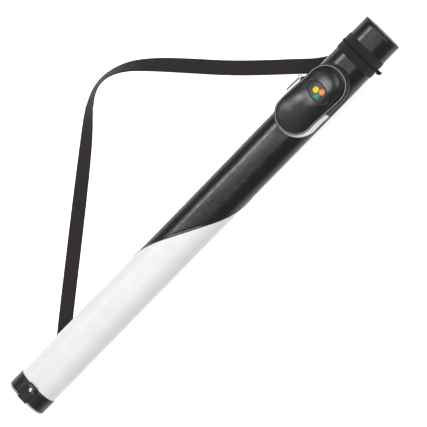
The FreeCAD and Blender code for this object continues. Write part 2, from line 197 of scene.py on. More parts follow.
def leather(name, dark, light, roughness, grain, specular=0.5, painted_valley_shade=0.80, crease=0.12):
    """Embossed leatherette: fine pebble grain with painted shade in its valleys, soft creases and slight
    changes of colour and gloss.
    """
    recipe = Recipe(name)
    place = recipe.place()
    warp = recipe.noise(place, 260.0, 2.0, output="Color")
    bent = recipe.add("ShaderNodeVectorMath", {0: warp, "Scale": PEBBLE}, operation="SCALE")
    moved = recipe.add("ShaderNodeVectorMath", {0: place, 1: bent})
    pebble = recipe.add("ShaderNodeTexVoronoi", {"Vector": moved, "Scale": 1 / PEBBLE},
                        feature="DISTANCE_TO_EDGE")
    valley = recipe.spread(pebble, end=0.22)
    creases = recipe.noise(place, 120.0, 6.0, 0.65)
    tone = recipe.ramp(recipe.noise(place, 34.0, 4.0, 0.6), 0.30, dark, 0.70, light)
    # painted shade: the colour darkens in the valleys between the pebbles
    shade = recipe.spread(valley, painted_valley_shade)
    colour = recipe.add("ShaderNodeVectorMath", {0: tone, "Scale": shade}, operation="SCALE")
    gloss = recipe.spread(creases, roughness - 0.05, roughness + 0.07, 0.3, 0.7)
    high = recipe.calc("MULTIPLY", valley, 0.75)
    mixed = recipe.calc("MULTIPLY_ADD", recipe.noise(place, 2400.0, 2.0), 0.25, high)
    fine = recipe.bump(mixed, 0.28 * grain, 0.00022)
    return recipe.finish(colour, gloss, recipe.bump(creases, crease, 0.0009, Normal=fine), specular)


def woven(name, dark, light, pitch, sheen=0.25, twill=False):
    """Woven tape with painted shade in the dips between its threads. Threads run across and along the
    piece's own map, which is in metres.
    """
    recipe = Recipe(name)
    place = recipe.add("ShaderNodeUVMap", uv_map="cloth")
    split = recipe.add("ShaderNodeSeparateXYZ", {"Vector": place}).node.outputs
    across = recipe.calc("MULTIPLY", split["X"], math.tau / pitch)
    along = recipe.calc("MULTIPLY", split["Y"], math.tau / (pitch * 1.15))
    if twill:
        along = recipe.calc("ADD", along, across)
    cross = recipe.calc("MULTIPLY", recipe.calc("SINE", across), recipe.calc("SINE", along))
    height = recipe.spread(cross, start=-1.0)
    fuzz = recipe.noise(place, 3200.0, 2.0)
    shade = recipe.calc("MULTIPLY_ADD", recipe.noise(recipe.place(), 45.0, 4.0), 0.55, fuzz)
    # painted shade: the colour follows the weave's height, so it darkens in the dips between the threads
    colour = recipe.ramp(recipe.calc("MULTIPLY", height, shade), 0.10, dark, 0.75, light)
    return recipe.finish(colour, recipe.spread(fuzz, 0.75, 0.95), recipe.bump(height, 0.6, 0.0003), 0.25,
                         Sheen_Weight=sheen, Sheen_Roughness=0.5)


def felt(name, dark, light):
    """Short pile felt with loose fibres."""
    recipe = Recipe(name)
    place = recipe.place()
    pile = recipe.noise(place, 1800.0, 4.0, 0.7)
    mixed = recipe.calc("MULTIPLY_ADD", pile, 0.6, recipe.noise(place, 90.0, 3.0))
    colour = recipe.ramp(mixed, 0.55, dark, 1.05, light)
    return recipe.finish(colour, 0.95, recipe.bump(pile, 0.8, 0.0005), 0.15, Sheen_Weight=0.4)


def moulded(name, dark, light, roughness, scale=900.0, strength=0.15, metallic=0.0, specular=0.5, coat=0.0):
    """Moulded plastic, rubber, foam or plated metal with fine texture and handling marks."""
    recipe = Recipe(name)
    place = recipe.place()
    broad = recipe.noise(place, 70.0, 5.0, 0.65)
    colour = recipe.ramp(broad, 0.32, dark, 0.68, light)
    rough = recipe.spread(broad, roughness - 0.06, roughness + 0.08, 0.3, 0.7)
    bump = recipe.bump(recipe.noise(place, scale, 3.0), strength, 0.0002)
    return recipe.finish(colour, rough, bump, specular, Metallic=metallic, Coat_Weight=coat)


def printed(name, colour):
    """Smooth enamel with faint unevenness."""
    dark = tuple(c * 0.9 for c in colour)
    return moulded(name, dark, colour, 0.42, 1500.0, 0.05, specular=0.3)


WHITE_DARK = (0.530, 0.524, 0.518)
WHITE_LIGHT = (0.570, 0.565, 0.560)
INK = (0.004, 0.004, 0.004)
BLACK_DARK = (0.004, 0.004, 0.005)
BLACK_LIGHT = (0.007, 0.007, 0.008)
BLACK_PALER = (0.008, 0.008, 0.009)
CLOTH_DARK = (0.004, 0.003, 0.003)
METAL_LIGHT = (0.009, 0.009, 0.009)

MATERIALS = {
    "white": leather("white_leatherette", WHITE_DARK, WHITE_LIGHT, 0.42, 0.5, painted_valley_shade=0.94, crease=0.2),
    "black": leather("black_leatherette", BLACK_DARK, BLACK_LIGHT, 0.29, 0.20, specular=0.33, crease=0.02),
    "pad": leather("pouch_leatherette", BLACK_DARK, BLACK_LIGHT, 0.31, 0.4, specular=0.38),
    "boot": leather("boot_leatherette", BLACK_DARK, BLACK_PALER, 0.36, 0.45, specular=0.35),
    "cap": leather("cap_leatherette", INK, BLACK_LIGHT, 0.5, 0.4, specular=0.15),
    "piping": moulded("grey_piping", (0.20, 0.20, 0.205), (0.28, 0.28, 0.285), 0.34),
    "base_piping": moulded("pale_piping", (0.60, 0.60, 0.60), (0.74, 0.74, 0.74), 0.30, coat=0.3),
    "dark_piping": moulded("black_piping", BLACK_DARK, BLACK_PALER, 0.42, specular=0.25),
    "tape": woven("zip_tape", CLOTH_DARK, (0.017, 0.014, 0.013), 0.0011, sheen=0.08, twill=True),
    "webbing": woven("strap_webbing", CLOTH_DARK, (0.020, 0.0145, 0.013), 0.0016, sheen=0.10),
    "gusset": woven("hinge_fabric", INK, (0.017, 0.016, 0.016), 0.0013, sheen=0.10),
    "thread_black": woven("black_thread", INK, (0.018, 0.018, 0.018), 0.0006, sheen=0.08),
    "teeth": moulded("coil_teeth", INK, (0.009, 0.008, 0.008), 0.60, specular=0.2),
    "blackened": moulded("blackened_metal", INK, METAL_LIGHT, 0.50, specular=0.2),
    "matte_metal": moulded("matte_metal", (0.003, 0.003, 0.003), (0.007, 0.007, 0.007), 0.70, specular=0.06),
    "gunmetal": moulded("gunmetal", (0.05, 0.05, 0.055), (0.10, 0.10, 0.11), 0.25, metallic=1.0),
    "nickel": moulded("nickel", (0.55, 0.55, 0.57), (0.72, 0.72, 0.74), 0.18, metallic=1.0),
    "liner": moulded("black_tube", (0.005, 0.005, 0.005), (0.010, 0.010, 0.010), 0.50, specular=0.3),
    "rim": moulded("grey_rim", (0.09, 0.09, 0.093), (0.14, 0.14, 0.144), 0.50, specular=0.3),
    "foam": moulded("foam", (0.03, 0.03, 0.03), (0.06, 0.06, 0.06), 0.9, 1500.0, 0.8),
    "rubber": moulded("rubber_pad", (0.012, 0.012, 0.012), (0.025, 0.025, 0.025), 0.8, 1200.0, 0.4),
    "felt": felt("grey_felt", (0.016, 0.016, 0.017), (0.045, 0.045, 0.048)),
    "lining": felt("pouch_lining", (0.012, 0.012, 0.013), (0.035, 0.035, 0.037)),
    "badge": printed("badge_face", (0.006, 0.007, 0.009)),
    "badge_rim": moulded("badge_rim", (0.012, 0.012, 0.013), (0.03, 0.03, 0.03), 0.3),
    "ball_yellow": printed("ball_yellow", (0.60, 0.38, 0.02)),
    "ball_green": printed("ball_green", (0.01, 0.16, 0.06)),
    "ball_orange": printed("ball_orange", (0.62, 0.16, 0.01)),
    "floor": moulded("floor", (0.96, 0.96, 0.96), (0.97, 0.97, 0.97), 0.9, 300.0, 0.02, specular=0.1),
}


# ---- mesh helpers

def piece(name, verts, faces, material, body=None, uv=None, replaces=(), slot=None):
    """A mesh object in the frame, riding on a body and standing for CAD nodes."""
    mesh = bpy.data.meshes.new(name)
    mesh.from_pydata([tuple(v) for v in verts], [], faces)
    mesh.update()
    if uv is not None:
        layer = mesh.uv_layers.new(name="cloth")
        for loop in mesh.loops:
            layer.data[loop.index].uv = uv[loop.vertex_index]
    mesh.polygons.foreach_set("use_smooth", [True] * len(mesh.polygons))
    mesh.materials.append(MATERIALS[material])
    made = bpy.data.objects.new(name, mesh)
    LINK(made)
    reshape(made, lambda shell: None)
    if body:
        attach(made, body)
    if replaces:
        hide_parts(*replaces)
    return made


def grid_faces(rows, columns, close_rows=False, close_columns=False):
    """Quads of a grid whose vertices run along its columns first."""
    faces = []
    for i in range(rows if close_rows else rows - 1):
        for j in range(columns if close_columns else columns - 1):
            a = i * columns + j
            b = i * columns + (j + 1) % columns
            c = ((i + 1) % rows) * columns + (j + 1) % columns
            d = ((i + 1) % rows) * columns + j
            faces.append((a, b, c, d))
    return faces


def tube_faces(rings, sides, closed=False):
    """Faces of a tube of rings. An open one gets two end faces."""
    faces = grid_faces(rings, sides, close_rows=closed, close_columns=True)
    if not closed:
        faces.append(tuple(range(sides)))
        faces.append(tuple(range((rings - 1) * sides, rings * sides)))
    return faces


def disc_faces(rings, sides):
    """Faces of a disc whose rings run inwards, with an upright edge and a flat back from one more ring."""
    faces = grid_faces(rings, sides, close_columns=True)
    back = rings * sides
    faces += [(k, (k + 1) % sides, back + (k + 1) % sides, back + k) for k in range(sides)]
    faces.append(tuple(range(back, back + sides)))
    return faces


def circle(sides):
    """Cosine and sine at even steps round a circle."""
    return [(math.cos(math.tau * k / sides), math.sin(math.tau * k / sides)) for k in range(sides)]


def even_stops(first, last, count):
    """Middles of count equal parts of a stretch."""
    return [first + (i + 0.5) * (last - first) / count for i in range(count)]


def reshape(made, change):
    """Applies a change to the object's mesh and turns every face outwards."""
    shell = bmesh.new()
    shell.from_mesh(made.data)
    change(shell)
    bmesh.ops.recalc_face_normals(shell, faces=shell.faces)
    shell.to_mesh(made.data)
    shell.free()


def weld(made):
    """Joins vertices that lie together, such as a fan's middle."""
    def join(shell):
        bmesh.ops.remove_doubles(shell, verts=shell.verts, dist=1e-6)
        bmesh.ops.dissolve_degenerate(shell, dist=1e-7, edges=shell.edges)

    reshape(made, join)


def sharpen(made, degrees):
    """Smooth shading that keeps the edges sharper than this angle."""
    made.data.set_sharp_from_angle(angle=math.radians(degrees))


def on_oval(s, radius):
    """Point at distance s round the front, and its outward direction, as (y, z)."""
    side = 1 if s >= 0 else -1
    d = min(abs(s), HALF_GIRTH)
    if d <= HALF_FLAT:
        return side * d, AXIS_Z + radius, 0.0, 1.0
    if d <= HALF_FLAT + math.pi * RADIUS:
        a = (d - HALF_FLAT) / RADIUS
        ny, nz = side * math.sin(a), math.cos(a)
        return side * HALF_FLAT + radius * ny, AXIS_Z + radius * nz, ny, nz
    return side * (HALF_GIRTH - d), AXIS_Z - radius, 0.0, -1.0


def round_oval(count, first=-HALF_GIRTH, last=HALF_GIRTH, closed=True):
    """Distances round the front. A closed round leaves out the last, which is the first again."""
    steps = count if closed else count - 1
    return [first + (last - first) * i / steps for i in range(count)]


def oval_band(name, profile, material, body, count=200, reach=None, replaces=(), slot=None, wobble=0.0):
    """Closed profile of (x, radius) points carried round the oval, or to reach each side of the front."""
    closed = reach is None
    stops = round_oval(count) if closed else round_oval(count, -reach, reach, closed=False)
    verts = []
    uv = []
    run = [0.0]
    for (x0, r0), (x1, r1) in zip(profile, profile[1:]):
        run.append(run[-1] + math.hypot(x1 - x0, r1 - r0))
    for s in stops:
        for (x, radius), v in zip(profile, run):
            lift = wobble * noise.noise(Vector((s * 60, x * 90, radius * 40)))
            y, z, ny, nz = on_oval(s, radius + lift)
            verts.append((x, y, z))
            uv.append((v, s))
    faces = tube_faces(len(stops), len(profile), closed)
    return piece(name, verts, faces, material, body, uv=uv, replaces=replaces, slot=slot)


def boxed_band(name, x0, x1, low, top, corner, bulge, material, body, degrees=40, **more):
    """Band round the oval with rounded outer corners and a crowned top, from radius low to top."""
    made = oval_band(name, soft_box(x0, x1, low, top, corner, bulge), material, body, **more)
    sharpen(made, degrees)


def soft_box(x0, x1, r0, r1, corner, bulge=0.0, steps=5):
    """Profile of such a band, from x0 to x1 and from radius r0 to r1."""
    points = [(x0, r0)]
    for i in range(steps + 1):
        a = math.pi / 2 * i / steps
        points.append((x0 + corner * (1 - math.cos(a)), r1 - corner * (1 - math.sin(a))))
    for i in range(1, 8):
        t = i / 8
        points.append((x0 + corner + (x1 - x0 - 2 * corner) * t, r1 + bulge * math.sin(math.pi * t)))
    for i in range(steps + 1):
        a = math.pi / 2 * i / steps
        points.append((x1 - corner * (1 - math.sin(a)), r1 - corner * (1 - math.cos(a))))
    points.append((x1, r0))
    return points


def tube_along(points, radius, sides):
    """Vertices and faces of a closed round cord through points."""
    verts = []
    for i, p in enumerate(points):
        ahead = (points[(i + 1) % len(points)] - points[i - 1]).normalized()
        side = ahead.cross(Vector((0, 0, 1))).normalized()
        up = side.cross(ahead)
        verts += [p + side * (radius * c) + up * (radius * d) for c, d in circle(sides)]
    return verts, tube_faces(len(points), sides, closed=True)


def merge(parts):
    """One list of vertices and faces from several."""
    verts = []
    faces = []
    for more_verts, more_faces in parts:
        base = len(verts)
        verts += more_verts
        faces += [tuple(i + base for i in face) for face in more_faces]
    return verts, faces


STITCH_LENGTH = 0.0026
STITCH_RADIUS = 0.00028
STITCH_SHAPE = ((-0.5, 0.35), (-0.32, 0.9), (0.0, 1.0), (0.32, 0.9), (0.5, 0.35))
STITCH_SIDES = 6


def stitches(name, places, body, slot, length=STITCH_LENGTH, radius=STITCH_RADIUS):
    """Sewn thread: one sunken capsule for each (point, direction along, direction out)."""
    parts = []
    for point, ahead, out in places:
        ahead = ahead.normalized()
        side = ahead.cross(out).normalized()
        verts = []
        for end, size in STITCH_SHAPE:
            dip = -radius * 0.9 * (2 * end) ** 2
            middle = point + ahead * (end * length) + out * dip
            reach = radius * size
            verts += [middle + side * (reach * c) + out * (reach * d) for c, d in circle(STITCH_SIDES)]
        parts.append((verts, tube_faces(len(STITCH_SHAPE), STITCH_SIDES)))
    verts, faces = merge(parts)
    uv = [(v[0] + v[1], v[1] - v[2]) for v in verts]
    piece(name, verts, faces, "thread_black", body, uv=uv, slot=slot)


def oval_stitch_places(x, radius, reach=None, pitch=0.0038):
    """Places for a row of stitches round the oval at one station."""
    limit = HALF_GIRTH if reach is None else reach
    places = []
    for s in even_stops(-limit, limit, int(2 * limit / pitch)):
        y, z, ny, nz = on_oval(s, radius)
        places.append((Vector((x, y, z)), Vector((0, nz, -ny)), Vector((0, ny, nz))))
    return places


# ---- shoulder strap

STRAP_WIDTH = 0.025
STRAP_THICKNESS = 0.0017
STRAP_REST_Z = 0.0011
STRAP_ROUTE = [
    (0.7352, 0.0300, 0.0011), (0.7172, 0.0413, 0.0011), (0.6922, 0.0663, 0.0011),
    (0.6562, 0.1003, 0.0011), (0.6112, 0.1453, 0.0014), (0.5672, 0.1960, 0.0024),
    (0.5250, 0.2425, 0.0064), (0.4890, 0.2738, 0.0110), (0.4465, 0.2876, 0.0127),
    (0.4070, 0.2738, 0.0108), (0.3573, 0.2332, 0.0050), (0.2600, 0.1583, 0.0014),
    (0.1718, 0.0896, 0.0011), (0.1228, 0.0514, 0.0011), (0.0962, 0.0300, 0.0011),
]
STRAP_CREASES = ((0.6104, 0.1443), (0.3990, 0.2676))


def strap_line():
    """Points along the smooth route, read from its NURBS spline."""
    data = bpy.data.curves.new("strap_route", "CURVE")
    data.dimensions = "3D"
    data.resolution_u = 24
    spline = data.splines.new("NURBS")
    spline.points.add(len(STRAP_ROUTE) - 1)
    for point, place in zip(spline.points, STRAP_ROUTE):
        point.co = (*place, 1)
    spline.order_u = 3
    spline.use_endpoint_u = True
    route = bpy.data.objects.new("strap_route", data)
    LINK(route)
    bpy.context.view_layer.update()
    mesh = bpy.data.meshes.new_from_object(route)
    points = [v.co.copy() for v in mesh.vertices]
    bpy.data.objects.remove(route)
    bpy.data.meshes.remove(mesh)
    return points


def even_points(points, step):
    """The same line with evenly spaced points."""
    lengths = [0.0]
    for a, b in zip(points, points[1:]):
        lengths.append(lengths[-1] + (b - a).length)
    count = max(2, int(lengths[-1] / step))
    made = []
    j = 0
    for i in range(count + 1):
        want = lengths[-1] * i / count
        while j < len(points) - 2 and lengths[j + 1] < want:
            j += 1
        share = (want - lengths[j]) / max(lengths[j + 1] - lengths[j], 1e-9)
        made.append(points[j].lerp(points[j + 1], min(max(share, 0.0), 1.0)))
    return made


def make_strap():
    """Flat webbing that leans on its edge where it turns the corner."""
    line = even_points(strap_line(), 0.0025)
    half = STRAP_WIDTH / 2
    thick = STRAP_THICKNESS / 2
    section = []
    columns = 16
    for side in (1, -1):
        for i in range(columns + 1):
            t = -1 + 2 * i / columns
            rib = 0.00006 * math.cos(t * math.pi * 7)
            edge = thick * (1 - 0.55 * max(0.0, abs(t) - 0.88) / 0.12)
            section.append((side * t * half, side * (edge + rib)))
    verts = []
    uv = []
    run = 0.0
    for i, p in enumerate(line):
        before = line[max(i - 1, 0)]
        after = line[min(i + 1, len(line) - 1)]
        if i:
            run += (p - before).length
        ahead = (after - before).normalized()
        flat_side = Vector((0, 0, 1)).cross(ahead).normalized()
        lean = math.asin(min(0.95, max(0.0, (p.z - STRAP_REST_Z) / half)))
        wave = 0.10 * noise.noise(Vector((run * 9, 1.7, 0)))
        side = flat_side * math.cos(lean + wave * min(1, lean * 4)) + Vector((0, 0, 1)) * math.sin(lean)
        side.normalize()
        up = ahead.cross(side).normalized()
        crease = 0.0
        for x, y in STRAP_CREASES:
            d = (Vector((x, y)) - p.xy).length
            crease += 0.0008 * math.exp(-(d / 0.0035) ** 2) - 0.0004 * math.exp(-((d - 0.007) / 0.004) ** 2)
        for u, v in section:
            verts.append(p + side * u + up * (v + max(crease, -0.0003)))
            uv.append((u + (0.1 if v < 0 else 0.0), run))
    strap = piece("shoulder_webbing", verts, tube_faces(len(line), len(section)), "webbing", "case", uv=uv,
                  replaces=["shoulder_strap"], slot="webbing")
    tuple(STRAP_ROUTE[0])


make_strap()


# ---- leatherette skins

ROW_STEP = 0.004
ROW_STRETCH = 1.3
SKIN_COLUMNS = 201
SKIN_THICKNESS = 0.0010
SKIN_TOP = RADIUS + 0.00005
SLANT = math.sqrt(1 + SEAM_SLOPE ** 2)
WELT = 0.0006
WELT_MIDDLE = 0.0006
WELT_HALF = 0.0007
THREAD_AT = 0.0034
THREAD_PITCH = 0.0042
BACK_FADE = 0.006
WAVE_HEIGHT = 0.00022
CROWN_HEIGHT = 0.00048
CROWN_REACH = HALF_FLAT + 0.009
CROWN_FADE = 0.03
CROWN_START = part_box("boot_band")[1].x


def seam_x(s):
    return SEAM_FRONT - SEAM_SLOPE * s


def skin_wave(x, s):
    """Slight unevenness of leatherette glued over foam, longer along the case than across it."""
    slow = noise.noise(Vector((x * 14, s * 40, 0.3)))
    quick = noise.noise(Vector((x * 45, s * 90, 4.1)))
    return WAVE_HEIGHT * (slow + 0.35 * quick)


def crown(x, s):
    """Slight fullness of the front between the boot and the pouch, over the thickest foam."""
    across = max(0.0, 1 - (s / CROWN_REACH) ** 2) ** 2
    along = min(1.0, max(0.0, min(x - CROWN_START, POUCH_LOW.x - x) / CROWN_FADE))
    return CROWN_HEIGHT * across * along * along * (3 - 2 * along)


def thick_grid(name, rows, columns, at, material, body, replaces, slot, lining=None):
    """Closed sheet. at(i, j) gives a point of its outer face, the one under it and their map place."""
    points = [at(i, j) for i in range(rows) for j in range(columns)]
    outer, inner, uv = (list(part) for part in zip(*points))
    n = rows * columns
    faces = grid_faces(rows, columns)
    outer_count = len(faces)
    faces += [tuple(reversed([i + n for i in f])) for f in grid_faces(rows, columns)]
    for i in range(rows - 1):
        for j in (0, columns - 1):
            a = i * columns + j
            faces.append((a, a + columns, a + columns + n, a + n))
    for j in range(columns - 1):
        for i in (0, rows - 1):
            a = i * columns + j
            faces.append((a, a + 1, a + 1 + n, a + n))
    made = piece(name, outer + inner, faces, material, body, uv=uv + uv, replaces=replaces, slot=slot)
    if lining:
        made.data.materials.append(MATERIALS[lining])
        for polygon in made.data.polygons[outer_count:2 * outer_count]:
            polygon.material_index = 1
    return made


def skin_panel(name, node, x_of, rows, material, slot, lift_of=None, body="case"):
    """One panel of leatherette. x_of(i, s) gives row i's station and lift_of(i) its lift off the skin."""
    stops = round_oval(SKIN_COLUMNS, closed=False)

    def at(i, j):
        s = stops[j]
        x = x_of(i, s)
        lift = lift_of(i) if lift_of else 0.0
        fade = min(1.0, (HALF_GIRTH - abs(s)) / BACK_FADE)
        y, z, ny, nz = on_oval(s, RADIUS + lift + fade * skin_wave(x, s) + crown(x, s))
        return (x, y, z), (x, y - ny * SKIN_THICKNESS, z - nz * SKIN_THICKNESS), (x, s)

    thick_grid(name, rows, len(stops), at, material, body, [node], slot)


def make_skins():
    """Black panel with a folded edge laid over the white one along the spiral seam."""
    near = [0.0, 0.00015, 0.0004, 0.0007, 0.0010, 0.0013, 0.0018, 0.0026, 0.0032, 0.0036, 0.0042, 0.0055]
    reach = near[-1] * SLANT
    far_rows = int((UPPER_HIGH.x - UPPER_LOW.x) / ROW_STEP / ROW_STRETCH)

    def upper_x(i, s):
        if i < len(near):
            return seam_x(s) + near[i] * SLANT
        share = (i - len(near) + 1) / far_rows
        start = seam_x(s) + reach
        return start + (UPPER_HIGH.x - start) * share

    def upper_lift(i):
        if i >= len(near):
            return 0.0
        o = near[i]
        fold = WELT * math.sqrt(max(0.0, 1 - ((o - WELT_MIDDLE) / WELT_HALF) ** 2))
        sunk = -0.0002 * math.exp(-((o - THREAD_AT) / 0.0007) ** 2)
        return fold + sunk

    skin_panel("black_panel", "upper_skin", upper_x, len(near) + far_rows, "black", "black_leatherette",
               upper_lift)
    low_rows = int((LOWER_HIGH.x - LOWER_LOW.x) / ROW_STEP / ROW_STRETCH)

    def lower_x(i, s):
        share = i / (low_rows - 1)
        return LOWER_LOW.x + (seam_x(s) - LOWER_LOW.x) * share

    skin_panel("white_panel", "lower_skin", lower_x, low_rows, "white", "white_leatherette")


def make_seam_stitches():
    """A row of thread beside the folded edge."""
    places = []
    for s in even_stops(-HALF_GIRTH, HALF_GIRTH, int(2 * HALF_GIRTH * SLANT / THREAD_PITCH)):
        x = seam_x(s) + THREAD_AT * SLANT
        y, z, ny, nz = on_oval(s, RADIUS - 0.00005 + crown(x, s))
        along = Vector((-SEAM_SLOPE, nz, -ny))
        places.append((Vector((x, y, z)), along, Vector((0, ny, nz))))
    stitches("seam_thread", places, "case", "black_leatherette")


make_skins()
make_seam_stitches()


# ---- bottom end

BASE_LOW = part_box("base_plate")[0]
BOOT_LOW, BOOT_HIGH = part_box("boot_band")
BIND_LOW, BIND_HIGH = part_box("boot_binding")
LOOP_LOW, LOOP_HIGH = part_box("bottom_loop")
BOOT_RADIUS = (BOOT_HIGH.z - BOOT_LOW.z) / 2
PALE_LINE = 0.0008
PLATE_THICKNESS = 0.002
TAB_THICKNESS = 0.0016
RIVET_SHAPE = [
    (1.0, -0.0006), (1.0, 0.0), (0.97, 0.00035), (0.88, 0.0005), (0.80, 0.00035), (0.72, 0.0005),
    (0.50, 0.0010), (0.25, 0.00125), (0.0001, 0.0013),
]


def end_cap(name, node, x_flat, direction, dome, material, body, slot):
    """Oval plate, crowned along direction, from its rim in to the middle line."""
    low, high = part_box(node)
    radius = (high.z - low.z) / 2
    stops = round_oval(160)
    rings = 12
    verts = []
    for k in range(rings + 1):
        m = k / rings
        for s in stops:
            y, z, ny, nz = on_oval(s, radius * (1 - m))
            rise = dome * (1 - (1 - m) ** 2.2) + 0.00012 * noise.noise(Vector((y * 120, z * 120, 2.0)))
            verts.append((x_flat + direction * rise, y, z))
    for s in stops:
        y, z, ny, nz = on_oval(s, radius)
        verts.append((x_flat - direction * PLATE_THICKNESS, y, z))
    faces = disc_faces(rings + 1, len(stops))
    made = piece(name, verts, faces, material, body, replaces=[node], slot=slot)
    weld(made)
    sharpen(made, 50)


def oval_cord(name, node, material, body, slot, inset=0.0):
    """Round piping that follows the oval where its CAD solid lies, or a little inside it."""
    low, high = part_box(node)
    radius = (high.x - low.x) / 2
    centre = (high.z - low.z) / 2 - radius - inset
    x = (high.x + low.x) / 2
    stops = round_oval(220)
    verts = []
    sides = 12
    for s in stops:
        y, z, ny, nz = on_oval(s, centre)
        for c, d in circle(sides):
            verts.append((x + radius * d, y + ny * radius * c, z + nz * radius * c))
    faces = tube_faces(len(stops), sides, closed=True)
    piece(name, verts, faces, material, body, replaces=[node], slot=slot)


def make_boot():
    top = BOOT_RADIUS - 0.0001
    boxed_band("boot_leather", BOOT_LOW.x, BOOT_HIGH.x, SKIN_TOP, top, 0.0006, 0.0001, "boot", "case",
               replaces=["boot_band"], slot="boot_vinyl", wobble=0.0001)
    boxed_band("boot_edge_binding", BIND_LOW.x, BIND_HIGH.x, SKIN_TOP, BOOT_RADIUS - 0.0002, 0.0008, 0.0002,
               "boot", "case", replaces=["boot_binding"], slot="boot_vinyl")
    stitches("boot_thread", oval_stitch_places(BOOT_HIGH.x - 0.0028, top), "case", "boot_vinyl")
    end_cap("bottom_plate", "base_plate", BASE_LOW.x + 0.0003, -1, 0.0003, "boot", "case", "boot_vinyl")
    oval_cord("bottom_piping", "base_piping", "dark_piping", "case", "grey_piping")
    boxed_band("pale_bottom_line", BOOT_LOW.x - PALE_LINE, BOOT_LOW.x, RADIUS, BOOT_RADIUS + 0.0002, 0.0003,
               0.0, "base_piping", "case", slot="grey_piping")


def make_loop():
    """Leather tab up the bottom plate and over onto the front, with a bulge over the band's edge."""
    half = (LOOP_HIGH.y - LOOP_LOW.y) / 2
    thick = TAB_THICKNESS / 2
    face_x = BASE_LOW.x - thick
    top_z = BOOT_HIGH.z + thick + 0.0001
    path = [(face_x, LOOP_LOW.z + (top_z - 0.003 - LOOP_LOW.z) * i / 16, 1, 0) for i in range(17)]
    bend = 0.0028
    for i in range(1, 9):
        a = math.pi / 2 * i / 9
        path.append((face_x + bend * (1 - math.cos(a)), top_z - bend * (1 - math.sin(a)), 1, 0))
    start = face_x + bend
    run = LOOP_HIGH.x - start
    for i in range(30):
        t = i / 29
        bulge = 0.0016 * math.exp(-((t - 0.80) / 0.17) ** 2)
        tip = max(0.0, (t - 0.94) / 0.06)
        path.append((start + run * t, top_z + bulge - 0.0009 * tip * tip, 1 - 0.12 * tip ** 3, bulge))
    columns = 18
    verts = []
    uv = []
    length = 0.0
    for i, (x, z, width, bulge) in enumerate(path):
        before = path[max(i - 1, 0)]
        after = path[min(i + 1, len(path) - 1)]
        ahead = Vector((after[0] - before[0], 0, after[1] - before[1])).normalized()
        out = Vector((-ahead.z, 0, ahead.x))
        length += math.hypot(x - before[0], z - before[1])
        for side in (1, -1):
            for j in range(columns + 1):
                t = -1 + 2 * j / columns
                lip = 1 - 0.7 * max(0.0, abs(t) - 0.86) / 0.14
                sag = bulge * 0.35 * (1 - t * t) if side > 0 else 0.0
                offset = side * thick * lip + sag
                verts.append(Vector((x, -side * t * half * width, z)) + out * offset)
                uv.append((t * half, length))
    faces = tube_faces(len(path), 2 * (columns + 1))
    piece("front_tab", verts, faces, "boot", "case", uv=uv, replaces=["bottom_loop"], slot="boot_vinyl")
    places = []
    for y in (-half * 0.82, half * 0.82):
        for i in range(18, len(path) - 2):
            x, z, width, bulge = path[i]
            ahead = Vector((path[i + 1][0] - x, 0, path[i + 1][1] - z))
            out = Vector((-ahead.z, 0, ahead.x)).normalized()
            if i % 3 == 0:
                places.append((Vector((x, y, z)) + out * thick * 1.02, ahead, out))
    stitches("tab_thread", places, "case", "boot_vinyl")
    make_rivet(path[-8][1] + thick + 0.0004)


def make_rivet(z):
    """Domed rivet cap with a rolled rim, standing on the tab at this height."""
    low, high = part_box("loop_rivet")
    middle = (low + high) / 2
    radius = (high.x - low.x) / 2
    sides = 32
    verts = []
    for share, height in RIVET_SHAPE:
        reach = radius * share
        verts += [(middle.x + reach * c, middle.y + reach * d, z + height) for c, d in circle(sides)]
    piece("tab_rivet", verts, tube_faces(len(RIVET_SHAPE), sides), "nickel", "case", replaces=["loop_rivet"],
          slot="bright_metal")


make_boot()
make_loop()


# ---- zip ring between case and lid

TAPE_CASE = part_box("zip_tape_body")
TAPE_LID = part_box("zip_tape_lid")
TEETH_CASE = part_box("zip_teeth_body")
TEETH_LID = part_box("zip_teeth_lid")
HINGE_LOW, HINGE_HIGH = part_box("hinge_gusset")
TAPE_RADIUS = (TAPE_CASE[1].z - AXIS_Z)
TEETH_RADIUS = (TEETH_CASE[1].z - AXIS_Z)
HINGE_HALF = HINGE_HIGH.y
HINGE_RUN = HALF_FLAT + RADIUS * math.asin((HINGE_HALF - HALF_FLAT) / RADIUS)
ZIP_REACH = HALF_GIRTH - HINGE_RUN - 0.0004
COIL_PITCH = 0.0016
TOOTH_STEPS = 7
TOOTH_SIDES = 6


def zip_tape(name, node, box, towards, body):
    """Zip tape with rolled edges, a slightly crowned top and two rows of stitches."""
    x0, x1 = box[0].x, box[1].x
    top = TAPE_RADIUS - 0.0004
    boxed_band(name, x0, x1, SKIN_TOP, top, 0.0009, 0.00025, "tape", body, 50, count=240, reach=ZIP_REACH,
               replaces=[node], slot="zip_tape", wobble=0.00012)
    for i, share in enumerate((0.16, 0.80)):
        x = x0 + (x1 - x0) * (share if towards > 0 else 1 - share)
        places = oval_stitch_places(x, top + 0.0002, ZIP_REACH - 0.002, 0.0034)
        stitches(f"{name}_thread_{i + 1}", places, body, "zip_tape", 0.0024, 0.00024)


def coil(name, point_at, first, last, radius, rise, body, node):
    """A row of coil teeth. point_at(u) gives the root, the way over to the other row and the way out."""
    parts = []
    for u in even_stops(first, last, int((last - first) / COIL_PITCH)):
        root, over, out = point_at(u)
        along = over.cross(out).normalized()
        points = []
        for k in range(TOOTH_STEPS):
            t = k / (TOOTH_STEPS - 1)
            a = math.pi * t
            points.append(root + over * (rise * math.sin(a)) + out * (radius * 1.7 * (1 - 2 * t))
                          + along * (COIL_PITCH * 0.12 * math.cos(a)))
        parts.append(ring_tube(points, radius, along))
    verts, faces = merge(parts)
    piece(name, verts, faces, "teeth", body, replaces=[node], slot="zip_teeth")


